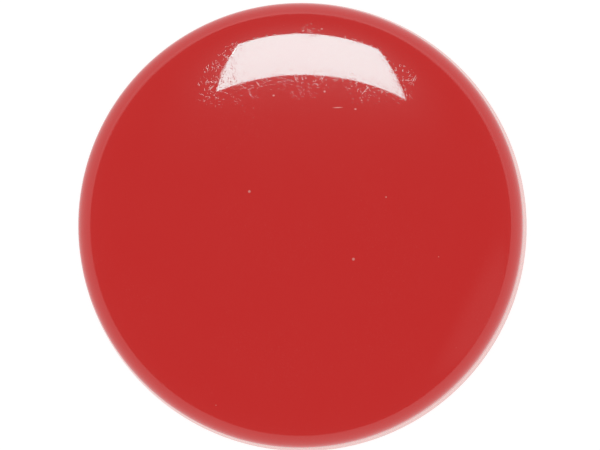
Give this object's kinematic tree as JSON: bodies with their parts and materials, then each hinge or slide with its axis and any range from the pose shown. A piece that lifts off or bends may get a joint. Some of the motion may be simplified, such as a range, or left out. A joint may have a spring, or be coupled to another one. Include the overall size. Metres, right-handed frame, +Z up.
{
  "type": "answer buzzer",
  "caption": "Round tabletop answer buzzer: a glossy domed push cap on a low round base with a switch, sound board, speaker and battery tray inside.",
  "frame": {"origin": "centre of the object on the surface it stands on", "axes": "+Z up, the way the cap faces; -Y is the side nearest the player; the speaker is towards +Y"},
  "size_m": [0.092, 0.092, 0.048],
  "materials": {
    "red_plastic": "glossy moulded red ABS, lightly scratched",
    "dark_plastic": "fine-textured dark moulded plastic",
    "white_plastic": "satin white plastic",
    "rubber": "matte rubber",
    "steel": "zinc-plated steel",
    "nickel": "nickel-plated spring steel",
    "board": "green solder mask on glass laminate",
    "epoxy": "black epoxy",
    "paper": "pressed paper cone",
    "foam": "closed-cell foam ring",
    "magnet": "plated magnet",
    "sleeve": "shrink sleeve",
    "resistor_body": "lacquered ceramic with colour bands",
    "red_wire": "PVC insulation",
    "black_wire": "PVC insulation"
  },
  "bodies": {
    "root": {"base_shell": "red_plastic", "battery_1": "sleeve", "battery_2": "sleeve", "battery_contact_bridge": "nickel", "battery_contact_negative": "nickel", "battery_contact_positive": "nickel", "battery_lead_black": "black_wire", "battery_lead_red": "red_wire", "battery_spring_1": "nickel", "battery_spring_2": "nickel", "board_screw_1": "steel", "board_screw_2": "steel", "bottom_cover": "dark_plastic", "capacitor": "sleeve", "case_screw_1": "steel", "case_screw_2": "steel", "case_screw_3": "steel", "circuit_board": "board", "foot_1": "rubber", "foot_2": "rubber", "foot_3": "rubber", "foot_4": "rubber", "resistor": "resistor_body", "return_spring_1": "steel", "return_spring_2": "steel", "return_spring_3": "steel", "sound_chip": "epoxy", "speaker_cone": "paper", "speaker_frame": "steel", "speaker_gasket": "foam", "speaker_lead_black": "black_wire", "speaker_lead_red": "red_wire", "speaker_magnet": "magnet", "switch_body": "epoxy", "transistor": "epoxy"},
    "cap": {"button_cap": "red_plastic"},
    "plunger": {"switch_plunger": "white_plastic"},
    "door": {"battery_door": "dark_plastic", "door_screw_1": "steel", "door_screw_2": "steel"}
  },
  "joints": [
    {"name": "cap_press", "type": "slide", "parent": "root", "child": "cap", "axis": [0, 0, 1], "range_m": [-0.003, 0], "stiffness_N_per_m": 500, "springref_m": 0.005, "deforming": ["return_spring_1", "return_spring_2", "return_spring_3"]},
    {"name": "switch_press", "type": "slide", "parent": "root", "child": "plunger", "axis": [0, 0, 1], "range_m": [-0.0003, 0]},
    {"name": "battery_door_removal", "type": "slide", "parent": "root", "child": "door", "axis": [0, 0, -1], "range_m": [0, 0.03]}
  ],
  "couplings": [
    {"joint": "switch_press", "follows": "cap_press", "ratio": 0.1}
  ]
}
